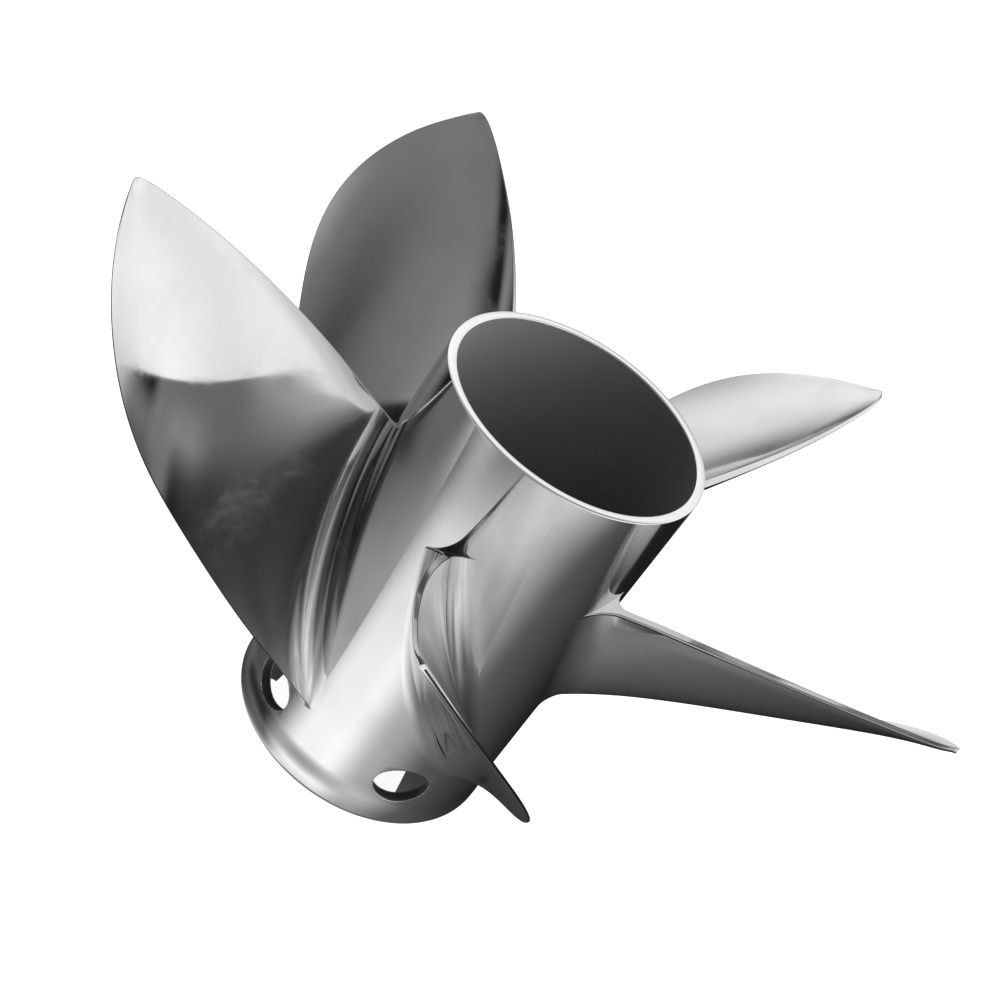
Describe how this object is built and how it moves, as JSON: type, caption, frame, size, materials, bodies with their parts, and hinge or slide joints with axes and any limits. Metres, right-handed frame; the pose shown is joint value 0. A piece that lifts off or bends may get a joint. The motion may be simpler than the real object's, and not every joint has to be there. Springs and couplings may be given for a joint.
{
  "type": "outboard boat propeller",
  "caption": "Left-hand stainless boat propeller with raked, pointed blades on a through-hub exhaust barrel, cushioned by a rubber-mounted splined sleeve.",
  "frame": {"origin": "on the shaft axis, in the plane of the hub's front lip, which the propeller stands on", "axes": "+Z along the shaft towards the open exhaust end; blade_1 lies towards -X, and -Y faces the viewer of the picture"},
  "size_m": [0.3669, 0.3624, 0.2041],
  "materials": {
    "polished_stainless": "cast stainless steel polished to a soft mirror on blades and hub",
    "cast_stainless": "as-cast satin stainless steel inside the hub",
    "cushion_rubber": "black moulded rubber",
    "sleeve_brass": "machined brass"
  },
  "bodies": {
    "root": {"hub_barrel": "polished_stainless", "blade_1": "polished_stainless", "blade_2": "polished_stainless", "blade_3": "polished_stainless", "blade_4": "polished_stainless", "blade_5": "polished_stainless", "inner_hub": "cast_stainless", "rib_1": "cast_stainless", "rib_2": "cast_stainless", "rib_3": "cast_stainless", "hub_cushion": "cushion_rubber", "drive_sleeve": "sleeve_brass"}
  },
  "joints": []
}
